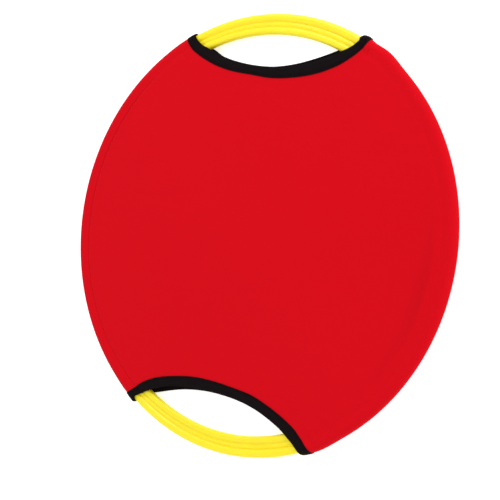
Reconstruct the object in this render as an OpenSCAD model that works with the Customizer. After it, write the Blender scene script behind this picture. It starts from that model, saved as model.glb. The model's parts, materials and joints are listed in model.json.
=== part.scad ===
// Sprung-fabric catch disc: a grooved hoop held in a stretch cover that is open at both grips.
// Millimetres. The disc lies on its back: +Z is out of its front, +Y points to the top grip.

/* [Hoop] */
// Outside diameter of the hoop
hoop_d = 380; // [300:1:450]
// Width of the hoop's section, outer edge to inner edge
hoop_w = 18; // [16:0.5:26]
// Diameter of the round outer rim
outer_rim_d = 7.4; // [6:0.1:8.5]
// Diameter of the round inner rim
inner_rim_d = 6.6; // [5.5:0.1:8]
// Thickness of the web between the rims
web_t = 3.6; // [2.4:0.1:5]

/* [Cover] */
// Thickness of the stretch knit
fabric_t = 0.7; // [0.4:0.1:1.5]
// Running gap between the cover and the hoop
hoop_gap = 0.3; // [0.2:0.05:0.6]
// Thickness of the overlocked side seam
seam_t = 1; // [0.6:0.1:1.4]
// Width of the overlocked edge that lies in the hoop's groove
seam_w = 4; // [3:0.25:5]
// How far the overlocked seam reaches under the panel beside the groove
seam_bite = 1; // [0.5:0.1:1.5]

/* [Grips] */
// Clear finger gap between hoop and binding at the middle of a grip
finger_gap = 30; // [22:1:40]
// Radius of the curved edge of a mouth
mouth_r = 164; // [130:1:220]

/* [Binding] */
// Width of the folded binding tape
tape_w = 10; // [7:0.5:15]
// Thickness of one layer of the tape
tape_t = 0.6; // [0.5:0.1:1]

/* [Stitching] */
// Distance of the stitch row from the sewn edge of the tape
stitch_inset = 1.8; // [1.2:0.1:3]
// Distance from one stitch to the next
stitch_pitch = 3.3; // [2.6:0.1:5]
// Length of the part of a stitch that shows
stitch_len = 2.2; // [1.2:0.1:2.4]
// Thickness of the sewing thread
thread_d = 0.5; // [0.3:0.05:0.7]
// How far the row is drawn into the tape, past the top of the thread
thread_sink = 0.1; // [0.05:0.05:0.2]

/* [Hidden] */
$fn = 96;

// Radii in the plane of the disc
hoop_r = hoop_d / 2;
hole_r = hoop_r - hoop_w;
outer_rim_c = hoop_r - outer_rim_d / 2;
inner_rim_c = hole_r + inner_rim_d / 2;
groove_in = hole_r + inner_rim_d;
edge_c = outer_rim_c; // the cover turns over the outer rim
seam_r = groove_in; // the bulky seam drops into the hoop's groove

// Heights of the layers above the middle of the hoop
crest = max(outer_rim_d, inner_rim_d) / 2;
tape_in = crest + hoop_gap;
fabric_in = tape_in + tape_t;
fabric_out = fabric_in + fabric_t;
tape_out = fabric_out + tape_t;

// Mouths: arcs centred outside the disc, on the Y axis
mouth_y = hole_r - finger_gap + mouth_r;
bound_r = mouth_r + tape_t; // raw edge of the panels inside the fold
sewn_r = mouth_r + tape_w; // sewn edge of the tape
seam_end_r = sewn_r + hoop_gap; // a side seam stops just short of the tape
through = 4 * tape_out; // longer than the disc is thick

// Stitch row
row_r = sewn_r - stitch_inset;
channel_w = 2 * thread_d;
channel_z = tape_out - thread_d / 2 - thread_sink;
flat_r = edge_c - stitch_len; // stitches stay on the flat of the tape
row_angle = acos((mouth_y * mouth_y + row_r * row_r - flat_r * flat_r) / (2 * mouth_y * row_r));
stitch_angle = stitch_pitch / row_r * 180 / PI;
stitch_n = floor(row_angle / stitch_angle);

knit_red = [0.84, 0.07, 0.12];
tape_black = [0.10, 0.08, 0.09];
rim_yellow = [1.0, 0.93, 0.15];

// Lifts the disc so that the back of its tape lies at z = 0.
module on_back() {
    translate([0, 0, tape_out]) children();
}

// Turns the front of the disc to its back, and its left side to its right.
module turned_over() {
    rotate([0, 180, 0]) children();
}

module top_mouth(r) {
    translate([0, mouth_y, 0]) cylinder(r = r, h = through, center = true);
}

module mouths(r) {
    top_mouth(r);
    mirror([0, 1, 0]) top_mouth(r);
}

// Section of a layer where the cover turns over the outer rim
module edge_section(low, high) {
    translate([edge_c, 0]) intersection() {
        difference() {
            circle(r = high);
            circle(r = low);
        }
        translate([0, -high]) square([high, 2 * high]);
    }
}

// One layer of the cover from its middle out, over the edge and back
module layer(low, high) {
    rotate_extrude() {
        edge_section(low, high);
        translate([0, low]) square([edge_c, high - low]);
        translate([0, -high]) square([edge_c, high - low]);
    }
}

// A panel covers its own face as far as the seam, and on one side turns over the rim to the other seam.
module panel() {
    difference() {
        union() {
            translate([0, 0, fabric_in]) cylinder(r = seam_r, h = fabric_t);
            rotate([0, 0, -90]) rotate_extrude(angle = 180) {
                edge_section(fabric_in, fabric_out);
                translate([hole_r, fabric_in]) square([edge_c - hole_r, fabric_t]);
                translate([seam_r, -fabric_out]) square([edge_c - seam_r, fabric_t]);
            }
        }
        mouths(bound_r);
    }
}

// Thread and turned-in edges of a side seam, lying in the groove between the rims
module seam_thread() {
    difference() {
        rotate([0, 0, 90]) rotate_extrude(angle = 180)
            translate([seam_r - seam_bite, fabric_in - seam_t])
                square([seam_w + seam_bite, seam_t]);
        mouths(seam_end_r);
    }
}

// The channel that a stitch row draws into both faces of the tape
module stitch_channel() {
    for (side = [0, 1]) mirror([0, 0, side])
        translate([0, mouth_y, channel_z]) difference() {
            cylinder(r = row_r + channel_w / 2, h = through);
            translate([0, 0, -through / 2]) cylinder(r = row_r - channel_w / 2, h = 2 * through);
        }
}

// Tape folded round the edge of both panels, in one loop round a mouth
module binding() {
    difference() {
        intersection() {
            layer(tape_in, tape_out);
            top_mouth(sewn_r);
        }
        top_mouth(mouth_r);
        difference() {
            layer(fabric_in, fabric_out);
            top_mouth(bound_r);
        }
        stitch_channel();
    }
}

// The half of a thread that lies above the floor of its channel
module stitch() {
    intersection() {
        rotate([0, 90, 0]) cylinder(d = thread_d, h = stitch_len, center = true);
        translate([-stitch_len, -thread_d, 0]) cube([2 * stitch_len, 2 * thread_d, thread_d]);
    }
}

module stitch_row() {
    for (side = [0, 1]) mirror([0, 0, side])
        translate([0, mouth_y, channel_z])
            for (i = [-stitch_n : stitch_n])
                rotate([0, 0, i * stitch_angle]) translate([0, -row_r, 0]) stitch();
}

module hoop() {
    color(rim_yellow) on_back() rotate_extrude() {
        translate([outer_rim_c, 0]) circle(d = outer_rim_d);
        translate([inner_rim_c, 0]) circle(d = inner_rim_d);
        translate([inner_rim_c, -web_t / 2]) square([outer_rim_c - inner_rim_c, web_t]);
    }
}

module front_panel() {
    color(knit_red) on_back() panel();
}

module back_panel() {
    color(knit_red) on_back() turned_over() panel();
}

module left_seam_thread() {
    color(knit_red) on_back() seam_thread();
}

module right_seam_thread() {
    color(knit_red) on_back() turned_over() seam_thread();
}

module top_binding() {
    color(tape_black) on_back() binding();
}

module bottom_binding() {
    color(tape_black) on_back() mirror([0, 1, 0]) binding();
}

module top_binding_thread() {
    color(tape_black) on_back() stitch_row();
}

module bottom_binding_thread() {
    color(tape_black) on_back() mirror([0, 1, 0]) stitch_row();
}

hoop();
front_panel();
back_panel();
left_seam_thread();
right_seam_thread();
top_binding();
bottom_binding();
top_binding_thread();
bottom_binding_thread();
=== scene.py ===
import json
import math

import bmesh
import bpy
import numpy as np
from mathutils import Matrix, Vector


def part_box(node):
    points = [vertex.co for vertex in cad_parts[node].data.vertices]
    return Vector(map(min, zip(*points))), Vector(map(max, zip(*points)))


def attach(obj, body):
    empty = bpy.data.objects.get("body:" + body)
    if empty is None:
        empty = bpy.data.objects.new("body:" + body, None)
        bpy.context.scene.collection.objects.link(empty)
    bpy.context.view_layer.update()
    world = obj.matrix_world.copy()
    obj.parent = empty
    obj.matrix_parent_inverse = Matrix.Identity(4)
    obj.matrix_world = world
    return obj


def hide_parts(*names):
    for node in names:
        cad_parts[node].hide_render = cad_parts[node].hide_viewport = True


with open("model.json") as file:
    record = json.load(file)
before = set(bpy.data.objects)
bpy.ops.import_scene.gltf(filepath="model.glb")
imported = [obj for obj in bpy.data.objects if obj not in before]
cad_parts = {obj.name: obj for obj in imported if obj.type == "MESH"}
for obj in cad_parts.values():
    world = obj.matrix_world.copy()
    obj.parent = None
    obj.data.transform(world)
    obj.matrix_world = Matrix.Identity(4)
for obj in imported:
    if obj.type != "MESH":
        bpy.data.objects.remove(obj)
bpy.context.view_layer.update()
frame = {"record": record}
rng = np.random.default_rng(11)
mm = 0.001

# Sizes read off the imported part. Heights are measured from the middle of the hoop.
hoopLow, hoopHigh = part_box("hoop")
panelLow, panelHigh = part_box("front_panel")
tapeLow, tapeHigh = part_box("top_binding")
midZ = (hoopLow.z + hoopHigh.z) / 2
outerRim = (hoopHigh.z - hoopLow.z) / 2
edgeC = hoopHigh.x - outerRim  # middle of the rim that the cover turns over
seamR = -panelLow.x  # where the two panels meet
clothOut = panelHigh.z - midZ
tapeOut = tapeHigh.z - midZ
slotColour = {m["slot"]: m["base_color"] for m in frame["record"]["materials"]}
print("frame: hoop radius %.1f mm, cloth %.1f mm off its middle" % (hoopHigh.x / mm, clothOut / mm))


# Small tools

def smooth(t):
    t = np.clip(t, 0, 1)
    return t * t * (3 - 2 * t)


def bell(t):
    return np.exp(-t * t)


def fuller(wave, power):  # a wave whose shoulders are broader where the power is below 1
    return np.sign(wave) * np.abs(wave) ** power


def turnFrom(angle, middle):  # signed difference of two angles, within half a turn
    return (angle - middle + math.pi) % (2 * math.pi) - math.pi


def gridFaces(rows, cols, start=0, aroundRows=False, aroundCols=False, flip=False):
    faces = []
    for i in range(rows if aroundRows else rows - 1):
        for j in range(cols if aroundCols else cols - 1):
            nextI, nextJ = (i + 1) % rows, (j + 1) % cols
            quad = [start + i * cols + j, start + nextI * cols + j,
                    start + nextI * cols + nextJ, start + i * cols + nextJ]
            faces.append(quad[::-1] if flip else quad)
    return faces


def makePiece(name, points, faces, lay, materials, sharp=60, slots=None):
    mesh = bpy.data.meshes.new(name)
    mesh.from_pydata(np.asarray(points).tolist(), [], faces)
    mesh.attributes.new("lay", "FLOAT_VECTOR", "POINT").data.foreach_set(
        "vector", np.asarray(lay, np.float32).ravel())
    for material in materials:
        mesh.materials.append(material)
    if slots is not None:
        mesh.polygons.foreach_set("material_index", slots)
    work = bmesh.new()
    work.from_mesh(mesh)
    bmesh.ops.recalc_face_normals(work, faces=work.faces)
    work.to_mesh(mesh)
    work.free()
    mesh.polygons.foreach_set("use_smooth", [True] * len(mesh.polygons))
    mesh.set_sharp_from_angle(angle=math.radians(sharp))
    piece = bpy.data.objects.new(name, mesh)
    bpy.context.scene.collection.objects.link(piece)
    return piece


# Tubes along rows of points: paths is (tubes, points, 3), radii is (points,)
def tubeMesh(paths, ups, radii, sides, start=0):
    ahead = np.gradient(paths, axis=1)
    ahead /= np.linalg.norm(ahead, axis=2, keepdims=True)
    out = ups - ahead * (ups * ahead).sum(2, keepdims=True)
    out /= np.linalg.norm(out, axis=2, keepdims=True)
    beside = np.cross(ahead, out)
    turn = np.arange(sides) * 2 * math.pi / sides
    ring = out[:, :, None] * np.cos(turn)[:, None] + beside[:, :, None] * np.sin(turn)[:, None]
    points = paths[:, :, None] + ring * np.asarray(radii)[None, :, None, None]
    step = np.linalg.norm(np.diff(paths, axis=1, prepend=paths[:, :1]), axis=2).cumsum(1)
    lay = np.zeros(points.shape)
    lay[..., 0] = step[:, :, None]
    lay[..., 1] = turn / (2 * math.pi)
    faces = []
    tubes, count = paths.shape[:2]
    for k in range(tubes):
        first = start + k * count * sides
        faces += gridFaces(count, sides, first, aroundCols=True)
        last = first + (count - 1) * sides
        faces.append(list(range(first, first + sides)))
        faces.append(list(range(last, last + sides))[::-1])
    return points.reshape(-1, 3), faces, lay.reshape(-1, 3)


# Shader tools

def feed(tree, socket, value):
    if isinstance(value, bpy.types.NodeSocket):
        tree.links.new(value, socket)
    else:
        socket.default_value = value


def calc(tree, operation, *values):
    node = tree.nodes.new("ShaderNodeMath")
    node.operation = operation
    for socket, value in zip(node.inputs, values):
        feed(tree, socket, value)
    return node.outputs[0]


def blendColour(tree, factor, first, second, mode="MIX"):
    node = tree.nodes.new("ShaderNodeMix")
    node.data_type, node.blend_type = "RGBA", mode
    for slot, value in ((0, factor), (6, first), (7, second)):  # 6 and 7 take the colours
        feed(tree, node.inputs[slot], value)
    return node.outputs[2]  # and this one gives the mixed colour


def remap(tree, value, low, high):
    node = tree.nodes.new("ShaderNodeMapRange")
    feed(tree, node.inputs["Value"], value)
    node.inputs["To Min"].default_value, node.inputs["To Max"].default_value = low, high
    return node.outputs[0]


def noise(tree, vector, scale, detail=2.0, rough=0.5):
    node = tree.nodes.new("ShaderNodeTexNoise")
    feed(tree, node.inputs["Vector"], vector)
    feed(tree, node.inputs["Scale"], scale)
    node.inputs["Detail"].default_value = detail
    node.inputs["Roughness"].default_value = rough
    return node.outputs["Fac"]


def newGroup(name, inputs, outputs):
    tree = bpy.data.node_groups.new(name, "ShaderNodeTree")
    for label, value in inputs:
        isVector = value is None
        socket = tree.interface.new_socket(
            label, in_out="INPUT", socket_type="NodeSocketVector" if isVector else "NodeSocketFloat")
        if not isVector:
            socket.default_value = value
    for label in outputs:
        tree.interface.new_socket(label, in_out="OUTPUT", socket_type="NodeSocketFloat")
    return tree, tree.nodes.new("NodeGroupInput").outputs, tree.nodes.new("NodeGroupOutput").inputs


def useGroup(tree, group, values):
    node = tree.nodes.new("ShaderNodeGroup")
    node.node_tree = group
    for label, value in values.items():
        feed(tree, node.inputs[label], value)
    return node.outputs


def newMaterial(name, colour):
    material = bpy.data.materials.new(name)
    material.use_nodes = True
    material.diffuse_color = (*colour, 1)
    tree = material.node_tree
    return material, tree, tree.nodes["Principled BSDF"].inputs


def layOf(tree):
    node = tree.nodes.new("ShaderNodeAttribute")
    node.attribute_name = "lay"
    return node.outputs["Vector"]


def raised(tree, height, distance, strength=1.0):
    node = tree.nodes.new("ShaderNodeBump")
    node.inputs["Strength"].default_value = strength
    node.inputs["Distance"].default_value = distance
    feed(tree, node.inputs["Height"], height)
    return node.outputs["Normal"]


def shade(colour, amount):
    return (*[min(1.0, c * amount) for c in colour], 1)


def grey(tone):
    return (tone, tone, tone, 1)


def toned(tree, face, mask, low, high):  # a colour made darker or lighter where the mask says so
    return blendColour(tree, 1.0, face, blendColour(tree, mask, low, high), "MULTIPLY")


yarnSet = {
    "ridge": 0.7,  # of a rib's section, lower is fuller
    "swell": 0.18,  # of each loop
    "slow": 0.12,  # scale of the mottle beside that of the streaks
}


# Ribs of yarn with leaning loops, for the knit and the tape
def ribbedYarnGroup():
    tree, given, result = newGroup(
        "ribbedYarn", [("Lay", None), ("Rib Pitch", mm), ("Loop Pitch", mm), ("Lean", 0.4)],
        ["Height"])
    parts = tree.nodes.new("ShaderNodeSeparateXYZ")
    feed(tree, parts.inputs[0], given["Lay"])
    across = calc(tree, "DIVIDE", parts.outputs[1], given["Rib Pitch"])
    along = calc(tree, "DIVIDE", parts.outputs[0], given["Loop Pitch"])
    ridge = calc(tree, "ABSOLUTE", calc(tree, "SINE", calc(tree, "MULTIPLY", across, math.pi)))
    ridge = calc(tree, "POWER", ridge, yarnSet["ridge"])
    legs = calc(tree, "ABSOLUTE", calc(tree, "SUBTRACT", calc(tree, "FRACT", across), 0.5))
    along = calc(tree, "ADD", along, calc(tree, "MULTIPLY", legs, given["Lean"]))
    loop = calc(tree, "SINE", calc(tree, "MULTIPLY", along, 2 * math.pi))
    loop = calc(tree, "MULTIPLY_ADD", loop, yarnSet["swell"], 1 - yarnSet["swell"])
    feed(tree, result["Height"], calc(tree, "MULTIPLY", ridge, loop))
    return tree


# Uneven dye and yarn thickness, drawn out along the rib
def yarnToneGroup():
    tree, given, result = newGroup(
        "yarnTone", [("Lay", None), ("Scale", 100.0), ("Stretch", 8.0)], ["Streak", "Mottle"])
    parts = tree.nodes.new("ShaderNodeSeparateXYZ")
    feed(tree, parts.inputs[0], given["Lay"])
    joined = tree.nodes.new("ShaderNodeCombineXYZ")
    feed(tree, joined.inputs[0], calc(tree, "DIVIDE", parts.outputs[0], given["Stretch"]))
    feed(tree, joined.inputs[1], parts.outputs[1])
    feed(tree, result["Streak"], noise(tree, joined.outputs[0], given["Scale"], detail=3))
    slow = calc(tree, "MULTIPLY", given["Scale"], yarnSet["slow"])
    feed(tree, result["Mottle"], noise(tree, given["Lay"], slow))
    return tree


# Plies of a sewing thread, turning round it
def plyTwistGroup():
    tree, given, result = newGroup("plyTwist", [("Lay", None), ("Turn", mm), ("Plies", 2.0)], ["Height"])
    parts = tree.nodes.new("ShaderNodeSeparateXYZ")
    feed(tree, parts.inputs[0], given["Lay"])
    turn = calc(tree, "ADD", calc(tree, "DIVIDE", parts.outputs[0], given["Turn"]), parts.outputs[1])
    wave = calc(tree, "SINE", calc(tree, "MULTIPLY", calc(tree, "MULTIPLY", turn, given["Plies"]), math.pi))
    feed(tree, result["Height"], calc(tree, "ABSOLUTE", wave))
    return tree


ribbedYarn, yarnTone, plyTwist = ribbedYarnGroup(), yarnToneGroup(), plyTwistGroup()

knitSet = {
    "rib": 0.75 * mm,
    "loop": 0.6 * mm,
    "relief": 0.1 * mm,
    "dye": (0.985, 0.56, 0.78),  # deeper than the slot's plain colour
    "ribShadeTone": (0.84, 1.08),  # painted shade between the ribs, and painted light on them
    "ribRough": (0.95, 0.78),
    "toneScale": 260.0,
    "toneStretch": 14.0,
    "streak": 0.015,  # of the tone, either way
    "mottle": 0.01,
    # painted shade that darkens the knit along the crease inside the hoop at the right
    "creaseShadeTone": 0.93,
    "specular": 0.02,
    "sheen": 0.3,
    "sheenRough": 0.35,
    "sheenTint": (1.0, 0.16, 0.2, 1),
}


def knitMaterial(name, slot):
    k = knitSet
    colour = [c * d for c, d in zip(slotColour[slot], k["dye"])]
    material, tree, skin = newMaterial(name, colour)
    lay = layOf(tree)
    yarn = useGroup(tree, ribbedYarn, {"Lay": lay, "Rib Pitch": k["rib"], "Loop Pitch": k["loop"]})
    tone = useGroup(tree, yarnTone, {"Lay": lay, "Scale": k["toneScale"], "Stretch": k["toneStretch"]})
    # painted shade between the ribs and painted light on them, after the rib height
    face = blendColour(tree, yarn["Height"], *[shade(colour, t) for t in k["ribShadeTone"]])
    face = toned(tree, face, tone["Streak"], grey(1 - k["streak"]), grey(1 + k["streak"]))
    face = toned(tree, face, tone["Mottle"], grey(1 - k["mottle"]), grey(1 + k["mottle"]))
    parts = tree.nodes.new("ShaderNodeSeparateXYZ")
    feed(tree, parts.inputs[0], lay)
    # the third part of the lay is the mask of the painted crease shade, in mm
    crease = calc(tree, "DIVIDE", parts.outputs[2], mm)
    feed(tree, skin["Base Color"], toned(tree, face, crease, grey(1), grey(k["creaseShadeTone"])))
    feed(tree, skin["Roughness"], remap(tree, yarn["Height"], *k["ribRough"]))
    feed(tree, skin["Normal"], raised(tree, yarn["Height"], k["relief"]))
    skin["Specular IOR Level"].default_value = k["specular"]
    skin["Sheen Weight"].default_value = k["sheen"]
    skin["Sheen Roughness"].default_value = k["sheenRough"]
    skin["Sheen Tint"].default_value = k["sheenTint"]
    return material


tapeLook = {
    "rib": 0.75 * mm,
    "loop": 0.6 * mm,
    "lean": 0.9,
    "relief": 0.12 * mm,
    "dye": 0.6,
    # painted shade between the ribs, and painted light on them
    "ribShadeTone": (0.5, 1.3),
    "ribRough": (0.9, 0.62),
    "toneScale": 400.0,
    "toneStretch": 5.0,
    "lintSpread": (-0.4, 1.2),
    "bareTone": 0.85,
    "lintTone": (1.25, 1.22, 1.22, 1),
    "specular": 0.03,
}


def tapeMaterial(name, slot):
    k = tapeLook
    colour = [c * k["dye"] for c in slotColour[slot]]
    material, tree, skin = newMaterial(name, colour)
    lay = layOf(tree)
    yarn = useGroup(tree, ribbedYarn, {
        "Lay": lay, "Rib Pitch": k["rib"], "Loop Pitch": k["loop"], "Lean": k["lean"]})
    tone = useGroup(tree, yarnTone, {"Lay": lay, "Scale": k["toneScale"], "Stretch": k["toneStretch"]})
    # painted shade between the ribs and painted light on them, after the rib height
    face = blendColour(tree, yarn["Height"], *[shade(colour, t) for t in k["ribShadeTone"]])
    lint = remap(tree, tone["Streak"], *k["lintSpread"])
    feed(tree, skin["Base Color"], toned(tree, face, lint, grey(k["bareTone"]), k["lintTone"]))
    feed(tree, skin["Roughness"], remap(tree, yarn["Height"], *k["ribRough"]))
    feed(tree, skin["Normal"], raised(tree, yarn["Height"], k["relief"]))
    skin["Specular IOR Level"].default_value = k["specular"]
    return material


threadLook = {
    "turn": 0.9 * mm,
    "plies": 3.0,
    "relief": 0.08 * mm,
    "dye": 0.6,
    "plyShadeTone": (0.55, 1.25),  # painted shade between the plies, and painted light on them
    "plyRough": (0.75, 0.5),
    "toneScale": 500.0,
    "toneStretch": 2.0,
    "uneven": 0.12,  # of the tone, either way
    "specular": 0.05,
}


def threadMaterial(name, slot):
    k = threadLook
    colour = [c * k["dye"] for c in slotColour[slot]]
    material, tree, skin = newMaterial(name, colour)
    lay = layOf(tree)
    ply = useGroup(tree, plyTwist, {"Lay": lay, "Turn": k["turn"], "Plies": k["plies"]})
    tone = useGroup(tree, yarnTone, {"Lay": lay, "Scale": k["toneScale"], "Stretch": k["toneStretch"]})
    # painted shade between the plies and painted light on them, after the ply height
    face = blendColour(tree, ply["Height"], *[shade(colour, t) for t in k["plyShadeTone"]])
    face = toned(tree, face, tone["Streak"], grey(1 - k["uneven"]), grey(1 + k["uneven"]))
    feed(tree, skin["Base Color"], face)
    feed(tree, skin["Roughness"], remap(tree, ply["Height"], *k["plyRough"]))
    feed(tree, skin["Normal"], raised(tree, ply["Height"], k["relief"]))
    skin["Specular IOR Level"].default_value = k["specular"]
    return material


plasticLook = {
    "dye": (1.01, 0.895, 0.24),
    "grooveShadeTone": (1.0, 1.0, 0.15),  # painted shade: deeper yellow in the corners of the section, where web and rims meet
    "flowScale": 45,  # slow drift of the tone in the moulding
    "flowTone": (0.975, 1.02),
    "gloss": 0.28,
    "scuffScale": 620,
    "scuffSpread": (-1.6, 1.9),
    "scuffRough": 0.3,
    "skinScale": 1400,
    "skinRelief": 0.02 * mm,
    "skinStrength": 0.6,
    "specular": 0.4,
    "glow": 0.8,
    "glowDepth": 5 * mm,
    "glowSpread": (0.85, 0.8, 0.2),
}


def plasticMaterial(name, slot):
    k = plasticLook
    colour = [c * d for c, d in zip(slotColour[slot], k["dye"])]
    shadedColour = [c * d for c, d in zip(colour, k["grooveShadeTone"])]
    material, tree, skin = newMaterial(name, colour)
    place = tree.nodes.new("ShaderNodeTexCoord").outputs["Object"]
    parts = tree.nodes.new("ShaderNodeSeparateXYZ")
    feed(tree, parts.inputs[0], layOf(tree))
    groove = parts.outputs[1]  # 1 in the corners between web and rims, where the shade is painted
    flow = noise(tree, place, k["flowScale"], detail=3)
    # painted shade in the corners: less blue, so the yellow goes deeper there
    face = blendColour(tree, groove, shade(colour, 1.0), (*shadedColour, 1))
    feed(tree, skin["Base Color"], toned(tree, face, flow, *[grey(t) for t in k["flowTone"]]))
    scratch = noise(tree, place, k["scuffScale"], detail=4, rough=0.7)  # fine as hair, from handling
    scuff = calc(tree, "MAXIMUM", remap(tree, scratch, *k["scuffSpread"]), 0.0)
    scuff = calc(tree, "MULTIPLY", scuff, flow)
    feed(tree, skin["Roughness"], calc(tree, "MULTIPLY_ADD", scuff, k["scuffRough"], k["gloss"]))
    grain = noise(tree, place, k["skinScale"])
    feed(tree, skin["Normal"], raised(tree, grain, k["skinRelief"], k["skinStrength"]))
    skin["Specular IOR Level"].default_value = k["specular"]
    skin["Subsurface Weight"].default_value = k["glow"]
    skin["Subsurface Radius"].default_value = k["glowSpread"]
    skin["Subsurface Scale"].default_value = k["glowDepth"]
    return material


redKnit = knitMaterial("redKnit", "red_knit")
redThread = threadMaterial("redThread", "red_thread")
blackTape = tapeMaterial("blackTape", "black_tape")
blackThread = threadMaterial("blackThread", "black_thread")
hoopPlastic = plasticMaterial("hoopPlastic", "hoop_plastic")
print("materials: %d" % len(slotColour))


# Camera, at the photograph's angle: place is measured from the middle of the hoop
cameraSet = {
    "lens": 65.25,
    "sensor": 36,
    "place": (0.4384, 0.0094, 0.6452),
    "right": (0.81787, 0.16388, -0.55157),
    "up": (-0.15246, 0.98604, 0.0669),
}


def addCamera():
    data = bpy.data.cameras.new("camera")
    data.sensor_width, data.lens = cameraSet["sensor"], cameraSet["lens"]
    camera = bpy.data.objects.new("camera", data)
    right, up = Vector(cameraSet["right"]).normalized(), Vector(cameraSet["up"])
    up = (up - right * up.dot(right)).normalized()
    turned = Matrix((right, up, right.cross(up))).transposed().to_4x4()
    place = Vector(cameraSet["place"]) + Vector((0, 0, midZ))
    camera.matrix_world = Matrix.Translation(place) @ turned
    bpy.context.scene.collection.objects.link(camera)
    bpy.context.scene.camera = camera


addCamera()
print("camera: %.0f mm lens" % cameraSet["lens"])


# Hoop: two rims and a crowned web between them, moulded in one piece
hoopSet = {
    "width": 18 * mm,
    "innerRim": 3.3 * mm,
    "fullness": 2.5,  # of the rims' section, where 2 is round
    "web": 2.0 * mm,  # half of its thickness at the rims
    "webCrown": 0.7 * mm,
    "fillet": 1.6 * mm,
    "shadeWide": 0.9 * mm,  # of the painted shade in the corners
    "partingRise": 0.09 * mm,  # the line where the two halves of the mould met
    "partingWidth": 0.35 * mm,
    "steps": 372,  # round the hoop
    "outerPoints": 57,  # across each part of the section
    "webPoints": 25,
    "innerPoints": 51,
}


def rimTop(r, middle, half):
    full = hoopSet["fullness"]
    return half * np.clip(1 - np.abs((r - middle) / half) ** full, 0, 1) ** (1 / full)


def rimWidths(middle, half, count):  # radii across a rim, closer together at its edges
    turn = np.linspace(0, math.pi, count)
    return middle + half * fuller(np.cos(turn), 2 / hoopSet["fullness"])


def hoopSection():
    h = hoopSet
    innerC = hoopHigh.x - h["width"] + h["innerRim"]
    edges = [edgeC - outerRim, innerC + h["innerRim"]]
    middle, half = sum(edges) / 2, (edges[0] - edges[1]) / 2
    r = np.concatenate([
        rimWidths(edgeC, outerRim, h["outerPoints"]),
        np.linspace(edges[0], edges[1], h["webPoints"])[1:-1],
        rimWidths(innerC, h["innerRim"], h["innerPoints"])])
    rims = np.maximum(rimTop(r, edgeC, outerRim), rimTop(r, innerC, h["innerRim"]))
    web = h["web"] + h["webCrown"] * (1 - ((r - middle) / half) ** 2)
    apart = np.abs(rims - web)
    z = np.maximum(rims, web * (np.abs(r - middle) < 2 * half))
    z += np.where(web > 0, np.maximum(h["fillet"] - apart, 0) ** 2 / (4 * h["fillet"]), 0)
    z[[0, -1]] = 0
    top = np.stack([r, z], 1)
    section = np.vstack([top, (top * [1, -1])[-2:0:-1]])
    parting = bell(section[:, 1] / h["partingWidth"]) * h["partingRise"]
    section[:, 0] += np.sign(section[:, 0] - middle) * parting
    # mask of the painted shade, in the corners beside each edge of the web
    cornerShade = sum(bell((r - edge) / h["shadeWide"]) for edge in edges)
    return section, np.concatenate([cornerShade, cornerShade[-2:0:-1]])


def addHoop():
    section, groove = hoopSection()
    turn = np.arange(hoopSet["steps"]) * 2 * math.pi / hoopSet["steps"]
    points = np.stack([
        np.cos(turn)[:, None] * section[:, 0], np.sin(turn)[:, None] * section[:, 0],
        np.broadcast_to(section[:, 1] + midZ, (len(turn), len(section)))], 2)
    lay = np.zeros(points.shape)
    lay[..., 0], lay[..., 1] = turn[:, None], groove
    faces = gridFaces(len(turn), len(section), aroundRows=True, aroundCols=True)
    hoop = makePiece("hoopRing", points.reshape(-1, 3), faces, lay.reshape(-1, 3), [hoopPlastic])
    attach(hoop, "hoop")
    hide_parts("hoop")
    print("hoop: %d faces" % len(faces))
    return hoop


hoopRing = addHoop()


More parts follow.
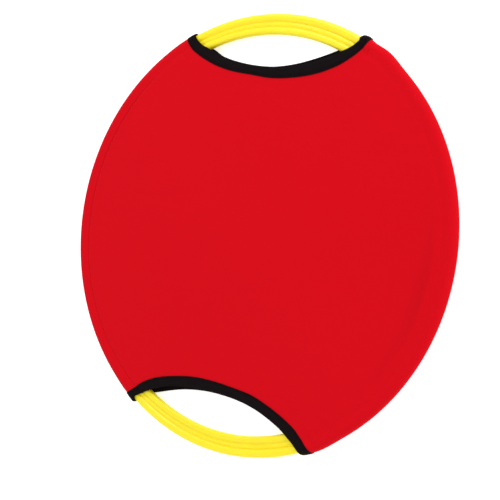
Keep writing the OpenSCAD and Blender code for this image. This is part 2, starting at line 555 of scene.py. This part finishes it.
# Cover: how the stretched knit settles over the hoop
coverSet = {
    "clothT": 0.7 * mm,
    "mouthR": 164 * mm,
    "tapeW": 10 * mm,
    "innerRimAt": 175.3 * mm,
    "rimStep": 0.4 * mm,  # the inner rim is lower than the outer one
    "grooveAt": 181 * mm,
    "grooveDip": 0.4 * mm,
    "grooveHalfWide": 2.4 * mm,
    "levelFrom": 1 * mm,  # past the middle of the outer rim, where every dip ends
    "levelOver": 2 * mm,
    "creaseAt": 174 * mm,  # inside the hoop the face falls away from a soft crease
    "creaseIn": 6 * mm,
    "crease": 0.05 * mm,
    "creaseMore": 2.5 * mm,  # on the front, at the right
    "creaseBehind": 0.3,  # share of that on the back
    "creaseMoreAt": math.radians(-10),
    "creaseMoreWide": math.radians(19),
    "creaseFade": (50 * mm, 130 * mm),  # and rises again towards the middle
    "waves": 0.05 * mm,  # slack in the stretched face
    "wavesPitch": 22,  # spread of their pitch, in radians a metre
    "wavesTo": 165 * mm,
    "wavesFade": 40 * mm,
    "seamFrom": 60 * mm,  # a side seam starts this far from the middle line
    "seamEase": 12 * mm,
    "seamDip": 1.05 * mm,
    "seamHalfWide": 0.8 * mm,
    "seamTop": 158 * mm,  # the seam lies level with the cloth near the top
    "seamFade": 60 * mm,
    "pucker": 0.1 * mm,
    "puckerCounts": (150, 330),
    "puckerReach": 5 * mm,
    "puckerEase": 3 * mm,
    "frontLift": 1.5 * mm,  # the front face sits a little towards the top
    "slideIn": 18 * mm,  # inside the outer rim, where a face comes free of the hoop
    "slideOver": 26 * mm,  # from the front, over the rim, to where the back has come free
    "besideTape": 4.5,  # tape widths over which the knit follows a tape
    # where a tape strays from its arc: top or bottom mouth, degrees along it, half width in degrees,
    # then mm at the fold and mm at the sewn edge
    "frontStrays": [
        (1, -6, 6, 0, -1.3), (1, 18.5, 7.5, 0.7, 1.3), (-1, -17, 5, 0.9, 0),
        (-1, -9, 6, 0, 0.8), (-1, 11, 12, 1.35, 0), (-1, 12, 5, 0, 1.25)],
    "backStrays": [(1, 21, 27, -6.8, -6.8), (1, -25, 4, -2, -2), (-1, -21, 12, -1.7, -1.7)],
    # how the ends of a mouth turn square to the hoop: x and y sides, degrees out beside the hoop, then
    # for the fold and for the sewn edge of the tape the radius where it turns, the degrees back in at
    # the rim, and a power that is 1 for a sharp turn and 2 for a soft one
    "ends": [
        (-1, 1, 0.5, (172 * mm, 1.1, 2), (164 * mm, 1.8, 2)),
        (1, 1, -0.6, (175 * mm, 0.65, 1), (160 * mm, 2.05, 1.6)),
        (1, 1, 0, (186.6 * mm, 0.55, 1), (186 * mm, 0, 1)),
        (-1, -1, 0.95, (185 * mm, 1.3, 1), (158 * mm, 1.2, 1.2)),
        (-1, -1, 0, (165 * mm, -0.5, 1.3), (165 * mm, 0, 1)),
        (1, -1, 0.75, (180 * mm, 0.3, 2), (150 * mm, 0.75, 2))],
    "endsFrom": 132 * mm,
    "endsOver": 22 * mm,
    "endsTo": 2 * mm,  # past the middle of the outer rim, where a turn is complete
    "endsMost": 1.25,
    # tucks where a tape's end gathers the front: x and y in mm, degrees from +X, then half length,
    # half width and depth in mm
    "tucks": [
        ((86.6, 159), 102, 2.6, 1.1, 1.0), ((90.4, 158.2), 98, 3.0, 1.1, 1.1),
        ((88, 156.5), 30, 8, 3.5, 0.35), ((81.8, -145.3), -62, 8, 3, 0.55),
        ((95.5, -153.5), -30, 7, 3, 0.7)],
    # cloth that stands off the hoop beside a tape: degrees from +X, reach in mm, half width in degrees
    "flares": [(56, 1.7, 4), (62.5, 1.0, 1.6), (-57, 1.3, 4.5),
               (122, 0.4, 4), (-122, 0.5, 4), (-117.5, 0.8, 1.6)],
    "flareFrom": 172 * mm,
    "flareOver": 14 * mm,
}
mouthR, clothT = coverSet["mouthR"], coverSet["clothT"]
mouthY = tapeLow.y + mouthR + coverSet["tapeW"]
tapeT = tapeOut - clothOut
rawR = mouthR + tapeT  # raw edge of the panels, inside the fold of the tape
puckerWaves = [(rng.uniform(*coverSet["puckerCounts"]), rng.uniform(0, 6.28), rng.uniform(0.5, 1))
               for _ in range(5)]
slackWaves = [(rng.normal(0, coverSet["wavesPitch"], 2), rng.uniform(0, 6.28)) for _ in range(6)]


def mouthAngle(r, rho):  # from the Y axis, where a circle of radius rho round a mouth crosses radius r
    return np.arccos((mouthY ** 2 + r ** 2 - rho ** 2) / (2 * mouthY * r))


def mouthSwing(r, rho):  # the same crossing, as an angle at the mouth's middle
    return np.arccos((mouthY ** 2 + rho ** 2 - r ** 2) / (2 * mouthY * rho))


def byTape(x, y):  # share of the way across the tape from its fold, and how much the knit there follows it
    depth = (np.hypot(x, mouthY - np.abs(y)) - mouthR) / coverSet["tapeW"]
    return np.clip(depth, 0, 1), 1 - smooth((depth - 1) / coverSet["besideTape"])


def strayed(x, y, strays):  # how far the sewn tape lies out from its arc
    across, near = byTape(x, y)
    swing = np.arctan2(x, mouthY - np.abs(y))
    away = np.zeros_like(x)
    for side, at, wide, fold, sewn in strays:
        bump = bell((swing - math.radians(at)) / math.radians(wide)) * (np.sign(y) == side)
        away += bump * mm * (fold * (1 - across) + sewn * across)
    return away * near


def turnEnds(x, y):  # the tape crosses the hoop squarely, and the knit beside it follows
    c = coverSet
    r = np.hypot(x, y)
    across, near = byTape(x, y)
    turn = np.zeros_like(r)
    for sideX, sideY, out, fold, sewn in c["ends"]:
        here = (x * sideX > 0) & (y * sideY > 0)
        back = [most * np.clip((r - start) / (edgeC + c["endsTo"] - start), 0, c["endsMost"]) ** power
                for start, most, power in (fold, sewn)]
        amount = out * smooth((r - c["endsFrom"]) / c["endsOver"])
        amount = amount - back[0] * (1 - across) - back[1] * across
        turn += np.where(here, -sideX * sideY * np.radians(amount) * near, 0)
    return x * np.cos(turn) - y * np.sin(turn), x * np.sin(turn) + y * np.cos(turn)


def slide(x, y, z):  # how the cover has shifted round the hoop, in plan
    c = coverSet
    r = np.hypot(x, y)
    free = smooth((edgeC - r) / c["slideIn"])
    wrap = clothOut * np.arctan2(np.maximum(r - edgeC, 0), z)
    wrap = wrap + np.where(z < 0, np.maximum(edgeC - r, 0), 0)
    onFront, onBack = np.where(z > 0, free, 0), smooth(wrap / c["slideOver"])
    away = onFront * strayed(x, y, c["frontStrays"]) + onBack * strayed(x, y, c["backStrays"])
    swing = np.arctan2(x, mouthY - np.abs(y))
    x, y = turnEnds(x, y)
    newX = x + away * np.sin(swing)
    newY = y - away * np.cos(swing) * np.sign(y) + c["frontLift"] * onFront
    newR = np.maximum(np.hypot(newX, newY), 1e-9)
    keep = (r + (newR - r) * free) / newR  # over the hoop it only goes round
    return newX * keep, newY * keep


def creaseShare(angle):  # 1 at the middle of the crease, along the hoop
    return bell(turnFrom(angle, coverSet["creaseMoreAt"]) / coverSet["creaseMoreWide"])


def seamDraw(x, y, z, away):  # how far a side seam draws the cloth into the groove, with its puckers
    c = coverSet
    r, angle = np.hypot(x, y), np.arctan2(y, x)
    onSeam = np.where(x * z < 0, smooth((np.abs(x) - c["seamFrom"]) / c["seamEase"]), 0)
    pull = c["seamDip"] * smooth((c["seamTop"] - y) / c["seamFade"])
    wave = sum(size * np.sin(count * angle + phase) for count, phase, size in puckerWaves) / 3
    pucker = c["pucker"] * wave * np.exp(-away / c["puckerReach"]) * smooth((edgeC - r) / c["puckerEase"])
    return onSeam * (pull * bell(away / c["seamHalfWide"]) + pucker)


def tuckDepth(x, y):
    depth = np.zeros_like(x)
    for (tuckX, tuckY), degrees, long, wide, deep in coverSet["tucks"]:
        alongX, alongY = math.cos(math.radians(degrees)), math.sin(math.radians(degrees))
        offX, offY = x / mm - tuckX, y / mm - tuckY
        lengthwise = bell((offX * alongX + offY * alongY) / long)
        depth += deep * mm * lengthwise * bell((offX * alongY - offY * alongX) / wide)
    return depth


def settle(points):  # from the flat plan to the cloth as it lies on the hoop
    c = coverSet
    x, y, z = np.moveaxis(np.asarray(points, float), -1, 0)
    away = np.abs(np.hypot(x, y) - seamR)
    x, y = slide(x, y, z)
    r, angle, front = np.hypot(x, y), np.arctan2(y, x), z > 0
    drop = c["rimStep"] * smooth((edgeC - r) / (edgeC - c["innerRimAt"]))
    drop += c["grooveDip"] * bell((r - c["grooveAt"]) / c["grooveHalfWide"])
    more = creaseShare(angle) * c["creaseMore"] * np.where(front, 1, c["creaseBehind"])
    fall = 1 - np.exp(np.minimum(r - c["creaseAt"], 0) / c["creaseIn"])
    fall *= smooth((r - c["creaseFade"][0]) / (c["creaseFade"][1] - c["creaseFade"][0]))
    drop += (c["crease"] + more) * fall
    for (kx, ky), phase in slackWaves:
        drop += c["waves"] * np.sin(kx * x + ky * y + phase) * smooth((c["wavesTo"] - r) / c["wavesFade"])
    drop += seamDraw(x, y, z, away)
    drop += np.where(front, tuckDepth(x, y), 0)
    drop *= smooth((edgeC + c["levelFrom"] - r) / c["levelOver"])
    spread = sum(reach * mm * bell(turnFrom(angle, math.radians(at)) / math.radians(wide))
                 for at, reach, wide in c["flares"])
    scale = 1 + spread * smooth((r - c["flareFrom"]) / c["flareOver"]) / r
    return np.stack([x * scale, y * scale, z - np.sign(z) * drop + midZ], -1)


# Panels: each covers its own face as far as one seam and turns over the rim to the other
panelSet = {
    # share of the width, and how many columns reach it
    "columns": [(0.014, 12), (0.06, 14), (0.8, 44), (0.86, 24), (1.0, 80)],
    "rows": 200,
    "rowCrowd": 0.5,  # closer rows at both mouths
    "edgePoints": (400, 90, 40),  # along a mouth: on the face, over the rim, on the other face
    "stretch": 1.12,  # each way, from the cut cloth to the cover on the hoop
    "shadeFrom": 2 * mm,  # the painted shade starts this far outside the crease
    "shadeEase": 3 * mm,
    "shadeFade": 1.2,  # how far in the painted crease shade lasts before it fades
}


def developed(rhoD, phi):  # polar plan of a panel laid out flat
    return np.stack([rhoD * np.sin(phi), rhoD * np.cos(phi)], -1)


def mouthEdge():  # raw top edge of the front panel on the flat plan, from the left seam to the right one
    faceCount, rimCount, backCount = panelSet["edgePoints"]
    swing = np.linspace(-mouthSwing(seamR, rawR), mouthSwing(edgeC, rawR), faceCount)
    onFace = np.stack([rawR * np.sin(swing), mouthY - rawR * np.cos(swing)], 1)
    turn = np.linspace(0, math.pi, rimCount)[1:]
    overRim = developed(edgeC + clothOut * turn, mouthAngle(edgeC + clothOut * np.sin(turn), rawR))
    r = np.linspace(edgeC, seamR, backCount)[1:]
    onBack = developed(2 * edgeC + math.pi * clothOut - r, mouthAngle(r, rawR))
    return np.vstack([onFace, overRim, onBack])


def panelPlan():
    edge = mouthEdge()
    share = np.linalg.norm(np.diff(edge, axis=0, prepend=edge[:1]), axis=1).cumsum()
    share /= share[-1]
    u, last = [0.0], 0.0
    for end, count in panelSet["columns"]:
        u += list(np.linspace(last, end, count + 1)[1:])
        last = end
    u = np.array(u)
    v = np.linspace(0, 1, panelSet["rows"])
    v = v - panelSet["rowCrowd"] * np.sin(2 * math.pi * v) / (2 * math.pi)
    top = np.stack([np.interp(u, share, edge[:, k]) for k in (0, 1)], 1)
    bottom = top * [1, -1]
    swing = mouthAngle(seamR, rawR)
    phi = math.pi - swing + v * (2 * swing - math.pi)
    left = developed(seamR, -phi)
    right = developed(2 * edgeC + math.pi * clothOut - seamR, phi)
    u, v = u[None, :, None], v[:, None, None]
    corners = ((1 - u) * (1 - v) * bottom[0] + u * (1 - v) * bottom[-1]
               + (1 - u) * v * top[0] + u * v * top[-1])
    return (1 - v) * bottom[None] + v * top[None] + (1 - u) * left[:, None] + u * right[:, None] - corners


def onHoop(plan, height):  # a point of the flat plan, at that height off the middle of the hoop
    rhoD, phi = np.hypot(plan[..., 0], plan[..., 1]), np.arctan2(plan[..., 0], plan[..., 1])
    turn = np.clip((rhoD - edgeC) / clothOut, 0, math.pi)
    beyond = np.maximum(rhoD - edgeC - math.pi * clothOut, 0)
    r = np.minimum(rhoD, edgeC) + height * np.sin(turn) - beyond
    return np.stack([r * np.sin(phi), r * np.cos(phi), height * np.cos(turn)], -1)


def creaseShade(points):  # 1 where the most shade is painted on the front, inside the crease
    r, angle = np.hypot(points[..., 0], points[..., 1]), np.arctan2(points[..., 1], points[..., 0])
    inside = coverSet["creaseAt"] - r
    reach = smooth(panelSet["shadeFade"] - inside / (2 * coverSet["creaseIn"]))
    reach *= smooth((inside + panelSet["shadeFrom"]) / panelSet["shadeEase"])
    return np.where(points[..., 2] > midZ, creaseShare(angle) * reach, 0)


def addPanel(name, node, turned):
    plan = panelPlan()
    rows, cols = plan.shape[:2]
    flip = np.array([-1, 1, -1]) if turned else np.ones(3)
    skins = [settle(onHoop(plan, h) * flip) for h in (clothOut, clothOut - clothT)]
    count = rows * cols
    faces = gridFaces(rows, cols) + gridFaces(rows, cols, count, flip=True)
    rim = ([(0, j) for j in range(cols - 1)] + [(i, cols - 1) for i in range(rows - 1)]
           + [(rows - 1, j) for j in range(cols - 1, 0, -1)] + [(i, 0) for i in range(rows - 1, 0, -1)])
    loop = [i * cols + j for i, j in rim]
    for a, b in zip(loop, loop[1:] + loop[:1]):
        faces.append([a, b, count + b, count + a])
    lay = np.zeros((2, rows, cols, 3))
    lay[..., :2] = plan
    # the third part of the lay carries the painted crease shade
    if not turned:
        lay[0, ..., 2] = creaseShade(skins[0]) * mm
    points = np.concatenate([s.reshape(-1, 3) for s in skins])
    panel = makePiece(name, points, faces, lay.reshape(-1, 3), [redKnit])
    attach(panel, "cover")
    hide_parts(node)
    print("%s: %d faces" % (name, len(faces)))
    return panel, plan


frontPanel, flatPlan = addPanel("frontPanel", "front_panel", False)
backPanel, flatPlan = addPanel("backPanel", "back_panel", True)


# One turn round a mouth, t from 0 to 4: over the front, the right rim, the back and the left rim
def mouthLoop(t, depth, height, top=True):
    t, depth, height = np.broadcast_arrays(np.asarray(t, float) % 4, depth, height)
    rho = mouthR + depth
    most = mouthSwing(edgeC, rho)
    leg = np.floor(t).astype(int)
    part = t - leg
    swing = np.where(leg == 0, 2 * part - 1, 1 - 2 * part) * most
    turn = np.where(leg == 1, part, 1 - part) * math.pi
    r = edgeC + height * np.sin(turn)
    phi = np.where(leg == 1, 1, -1) * mouthAngle(r, rho)
    flat = leg % 2 == 0
    x = np.where(flat, rho * np.sin(swing), r * np.sin(phi))
    y = np.where(flat, mouthY - rho * np.cos(swing), r * np.cos(phi))
    z = np.where(flat, np.where(leg == 0, 1, -1) * height, height * np.cos(turn))
    return settle(np.stack([x, y if top else -y, z], -1))


def loopSpacing(depth, height, step, samples=8001):  # evenly spaced t along the loop, and the run to each
    t = np.linspace(0, 4, samples)
    path = mouthLoop(t, depth, height)
    run = np.linalg.norm(np.diff(path, axis=0, prepend=path[:1]), axis=1).cumsum()
    count = int(round(run[-1] / step))
    start = np.interp(0.5, t, run)  # the middle of the front
    at = (start + np.arange(count) * run[-1] / count) % run[-1]
    return np.interp(at, run, t), np.arange(count) * run[-1] / count


# Bindings: tape folded over the raw edges and sewn through
bindingSet = {
    "step": 0.64 * mm,
    "overPoints": 22,  # across the outside of the tape
    "foldPoints": 13,
    "underPoints": 8,
    "insidePoints": 7,
    "foldDepth": 0.8,  # where 1 is a round fold
    "foldSoft": 0.22 * mm,  # how far the fold lies below the crown
    "foldSoftWide": 1.6 * mm,
    "rawGap": 0.3 * mm,  # between the fold and the raw edges inside it
    "stitchPitch": 3.3 * mm,
    "rowInset": 1.8 * mm,
    "rowSink": 0.35 * mm,
    "rowHalfWide": 0.8 * mm,
    "dimple": 0.12 * mm,
    "dimpleHalfWide": 1.3 * mm,
    "selvedge": 0.12 * mm,  # how far the sewn edge lies below the crown
    "leastT": 0.12 * mm,  # what is left of the tape under a stitch
    "joinRise": 0.35 * mm,  # the end of the tape laps over its start
    "joinLong": 11 * mm,
    "joinStep": 0.5 * mm,
    "joinFade": 3 * mm,
}
rowDepth = coverSet["tapeW"] - bindingSet["rowInset"]


def levelRun(depths, height):  # a stretch of the tape's section at one height
    return np.stack([depths, np.full(len(depths), height)], 1)


# Outside of the folded tape, then its inside: depth from the fold and height, with 1 where relief lifts it
def bindingSection():
    b, w = bindingSet, coverSet["tapeW"]
    inner = tapeOut - 2 * tapeT - clothT
    half = (tapeOut - inner) / 2
    bend = half * b["foldDepth"]
    turn = np.linspace(math.pi / 2, 3 * math.pi / 2, b["foldPoints"])
    fold = np.stack([bend * (1 + np.cos(turn)), (tapeOut + inner) / 2 + half * np.sin(turn)], 1)
    over = np.linspace(w, bend, b["overPoints"])[:-1]
    under = np.linspace(bend, w, b["underPoints"])[1:]
    back = np.linspace(w, tapeT + b["rawGap"], b["insidePoints"])
    section = np.vstack([
        levelRun(over, tapeOut), fold, levelRun(under, inner),
        levelRun(back, inner + tapeT), levelRun(back[::-1], tapeOut - tapeT)])
    lifted = np.zeros(len(section))
    lifted[:len(over) + b["foldPoints"] // 2] = 1
    return section, lifted


def addBinding(name, node, top, joinAt):
    b = bindingSet
    section, lifted = bindingSection()
    depth, height = section[:, 0], section[:, 1]
    t, run = loopSpacing(rowDepth, tapeOut, b["step"])
    length = run[-1] + run[1]
    stitch = length / round(length / b["stitchPitch"])
    crown = -b["rowSink"] * bell((depth - rowDepth) / b["rowHalfWide"])
    crown -= b["selvedge"] * smooth((depth - rowDepth) / b["rowInset"])
    crown -= b["foldSoft"] * bell(depth / b["foldSoftWide"])
    wave = np.cos(2 * math.pi * run / stitch)  # down at the needle holes, between two stitches
    dimples = b["dimple"] * (0.5 - 0.5 * wave)[:, None] * bell((depth - rowDepth) / b["dimpleHalfWide"])
    gap = (run - joinAt * length + length / 2) % length - length / 2
    lap = smooth((gap + b["joinLong"] / 2) / b["joinStep"])
    lap *= smooth((b["joinLong"] / 2 - gap) / b["joinFade"])
    relief = crown[None] - dimples + lap[:, None] * b["joinRise"]
    heights = height[None] + relief * lifted[None]
    least = tapeOut - tapeT + b["leastT"]
    heights = np.where(lifted[None] > 0, np.maximum(heights, least), heights)
    points = mouthLoop(t[:, None], depth[None], heights, top)
    lay = np.zeros(points.shape)
    lay[..., 0], lay[..., 1] = run[:, None], depth[None]
    faces = gridFaces(len(t), len(section), aroundRows=True, aroundCols=True)
    binding = makePiece(name, points.reshape(-1, 3), faces, lay.reshape(-1, 3), [blackTape], sharp=50)
    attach(binding, "cover")
    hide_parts(node)
    print("%s: %d faces, loop %.0f mm" % (name, len(faces), length / mm))
    return binding


topBinding = addBinding("topBinding", "top_binding", True, 0.245)
bottomBinding = addBinding("bottomBinding", "bottom_binding", False, 0.755)


# Stitches: one row round each binding, through all the layers
stitchSet = {
    "length": 2.5 * mm,
    "thick": 0.5 * mm,
    "bed": 0.05 * mm,  # how far the thread presses into the row
    "show": 0.25,  # of its thickness, from the bed up to its middle
    "bow": 0.16 * mm,
    "endDip": 0.5,  # of its thickness
    "endPower": 6,
    "taper": 0.86,
    "tipLeast": 0.1,
    "uneven": 0.12 * mm,  # along the row
    "wander": 0.06 * mm,  # across it
    "points": 9,
    "sides": 8,
    "fineStep": 0.2 * mm,
}


def addStitches(name, node, top):
    s = stitchSet
    run = loopSpacing(rowDepth, tapeOut, bindingSet["stitchPitch"])[1]
    dense, denseRun = loopSpacing(rowDepth, tapeOut, s["fineStep"])
    length = denseRun[-1] + denseRun[1]
    along = np.linspace(-0.5, 0.5, s["points"])
    toEnd = np.abs(2 * along)  # 1 at both ends of a stitch
    slip = rng.normal(0, s["uneven"], (len(run), 1))
    at = (run[:, None] + slip + along[None] * s["length"]) % length
    unrolled = np.where(dense < dense[0], dense + 4, dense)  # t without its jump
    place = np.interp(at, np.append(denseRun, length), np.append(unrolled, unrolled[0] + 4))
    height = tapeOut - bindingSet["rowSink"] - s["bed"] + s["thick"] * s["show"]
    height = height + s["bow"] * (1 - toEnd ** 2) - s["thick"] * s["endDip"] * toEnd ** s["endPower"]
    wander = rng.normal(0, s["wander"], (len(run), 1)) * np.ones_like(at)
    paths = mouthLoop(place, rowDepth + wander, height[None], top)
    ups = mouthLoop(place, rowDepth + wander, height[None] + 1 * mm, top) - paths
    taper = np.clip(1 - (s["taper"] * toEnd) ** s["endPower"], s["tipLeast"], 1)
    points, faces, lay = tubeMesh(paths, ups, s["thick"] / 2 * np.sqrt(taper), s["sides"])
    stitches = makePiece(name, points, faces, lay, [blackThread])
    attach(stitches, "cover")
    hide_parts(node)
    print("%s: %d stitches" % (name, len(run)))
    return stitches


topStitches = addStitches("topStitches", "top_binding_thread", True)
bottomStitches = addStitches("bottomStitches", "bottom_binding_thread", False)


# Side seams: the turned-in edges of both panels, overlocked, in the groove of the hoop
seamSet = {
    "from": 178.7 * mm,
    "to": 183.0 * mm,
    "height": 3.43 * mm,  # of its middle
    "thick": 0.7 * mm,
    "fullness": (0.35, 0.6),  # of its section, across and up, where 1 is oval
    "waves": [(0.06 * mm, 97, 0), (0.04 * mm, 211, 1)],  # of its edges: size, count, phase
    "sides": 16,
    "stations": 260,
    "endGap": 0.3 * mm,
    "turnPitch": 2.6 * mm,
    "turnPoints": 20,
    "turnFullness": (0.7, 0.5),
    "threadThick": 0.34 * mm,
    "threadSides": 6,
}


def addSeam(name, node, turned):
    s = seamSet
    middle, half = (s["from"] + s["to"]) / 2, (s["to"] - s["from"]) / 2
    swing = mouthAngle(middle, mouthR + coverSet["tapeW"] + s["endGap"])
    side = -1 if turned else 1

    def place(phi, out, up):  # phi from the Y axis, on the left of the front
        phi, out, up = np.broadcast_arrays(phi, out, up)
        z = (s["height"] + up) * side
        x, y = slide(-(middle + out) * np.sin(phi) * side, (middle + out) * np.cos(phi), z)
        return np.stack([x, y, z + midZ], -1)

    phi = np.linspace(swing, math.pi - swing, s["stations"])
    turn = np.arange(s["sides"]) * 2 * math.pi / s["sides"]
    wave = sum(size * np.sin(phi * count + phase) for size, count, phase in s["waves"])
    out = half * fuller(np.cos(turn), s["fullness"][0])
    up = s["thick"] / 2 * fuller(np.sin(turn), s["fullness"][1])
    strip = place(phi[:, None], out[None] + wave[:, None], up[None])
    lay = np.zeros(strip.shape)
    lay[..., 0], lay[..., 1] = (phi * middle)[:, None], out[None]
    faces = gridFaces(len(phi), s["sides"], aroundCols=True)
    last = (len(phi) - 1) * s["sides"]
    faces += [list(range(s["sides"])), list(range(last, last + s["sides"]))[::-1]]
    plain = len(faces)
    turns = int((phi[-1] - phi[0]) * middle / s["turnPitch"])
    coil = np.linspace(0.5, turns - 0.5, turns * s["turnPoints"])
    coilPhi = phi[0] + coil / turns * (phi[-1] - phi[0])
    hug = s["threadThick"] / 2
    coilOut = (half + hug) * fuller(np.cos(coil * 2 * math.pi), s["turnFullness"][0])
    coilUp = (s["thick"] / 2 + hug) * fuller(np.sin(coil * 2 * math.pi), s["turnFullness"][1])
    paths = place(coilPhi, coilOut, coilUp)[None]
    ups = place(coilPhi, coilOut * 1.5, coilUp * 3)[None] - paths  # away from the strip
    points, more, threadLay = tubeMesh(
        paths, ups, np.full(len(coil), hug), s["threadSides"], len(phi) * s["sides"])
    faces += more
    seam = makePiece(
        name, np.concatenate([strip.reshape(-1, 3), points]), faces,
        np.concatenate([lay.reshape(-1, 3), threadLay]),
        [redKnit, redThread], slots=[0] * plain + [1] * len(more))
    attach(seam, "cover")
    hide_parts(node)
    print("%s: %d turns of thread" % (name, turns))
    return seam


leftSeam = addSeam("leftSeam", "left_seam_thread", False)
rightSeam = addSeam("rightSeam", "right_seam_thread", True)


# Floor and light
stageSet = {
    "size": 4.0,
    "floor": 0.9,
    "floorLift": 0.55,  # what the camera sees above the floor's own shade
    "floorGlow": 0.3,  # the floor's own glow, for every ray, which lights the disc from below
    "overhead": 0.76,
    "walls": 0.62,
}
lampSet = [  # name, place, width of its square, watts
    ("keyLamp", (1.08, 0.62, 0.98), 0.9, 5.6),
    ("topLamp", (-0.35, 1.0, 0.76), 0.5, 3.2),
]


def onlySeen(tree):  # 1 for what the camera, a reflection or a clear surface looks at
    path = tree.nodes.new("ShaderNodeLightPath").outputs
    seen = calc(tree, "MAXIMUM", path["Is Camera Ray"], path["Is Glossy Ray"])
    return calc(tree, "MAXIMUM", seen, path["Is Transmission Ray"])


def addStage():
    floorMesh = bpy.data.meshes.new("floor")
    h = stageSet["size"] / 2
    floorMesh.from_pydata([(-h, -h, 0), (h, -h, 0), (h, h, 0), (-h, h, 0)], [], [(0, 1, 2, 3)])
    floor = bpy.data.objects.new("floor", floorMesh)
    bpy.context.scene.collection.objects.link(floor)
    material, tree, skin = newMaterial("floorWhite", (1, 1, 1))
    skin["Base Color"].default_value = (*[stageSet["floor"]] * 3, 1)
    skin["Roughness"].default_value = 1
    skin["Specular IOR Level"].default_value = 0
    skin["Emission Color"].default_value = (1, 1, 1, 1)
    lift = calc(tree, "MULTIPLY", onlySeen(tree), stageSet["floorLift"])
    feed(tree, skin["Emission Strength"], calc(tree, "MAXIMUM", lift, stageSet["floorGlow"]))
    floorMesh.materials.append(material)
    world = bpy.data.worlds.new("studio")
    world.use_nodes = True
    sky = world.node_tree
    back = sky.nodes["Background"]
    back.inputs["Color"].default_value = (1, 1, 1, 1)
    toward = sky.nodes.new("ShaderNodeSeparateXYZ")
    feed(sky, toward.inputs[0], sky.nodes.new("ShaderNodeTexCoord").outputs["Generated"])
    level = calc(sky, "MAXIMUM", toward.outputs[2], 0.0)
    low = calc(sky, "SUBTRACT", 1.0, level)  # 1 at the foot of the walls
    low = calc(sky, "MULTIPLY", low, low)
    tent = calc(sky, "MULTIPLY_ADD", low, stageSet["walls"], stageSet["overhead"])
    feed(sky, back.inputs["Strength"], calc(sky, "MAXIMUM", onlySeen(sky), tent))
    bpy.context.scene.world = world
    for name, place, width, watts in lampSet:
        data = bpy.data.lights.new(name, "AREA")
        data.size, data.energy = width, watts
        lamp = bpy.data.objects.new(name, data)
        lamp.location = place
        lamp.rotation_euler = Vector(place).to_track_quat("Z", "Y").to_euler()  # it looks at the disc
        bpy.context.scene.collection.objects.link(lamp)
    bpy.context.scene.view_settings.view_transform = "Standard"


addStage()
print("stage: %d lamps" % len(lampSet))
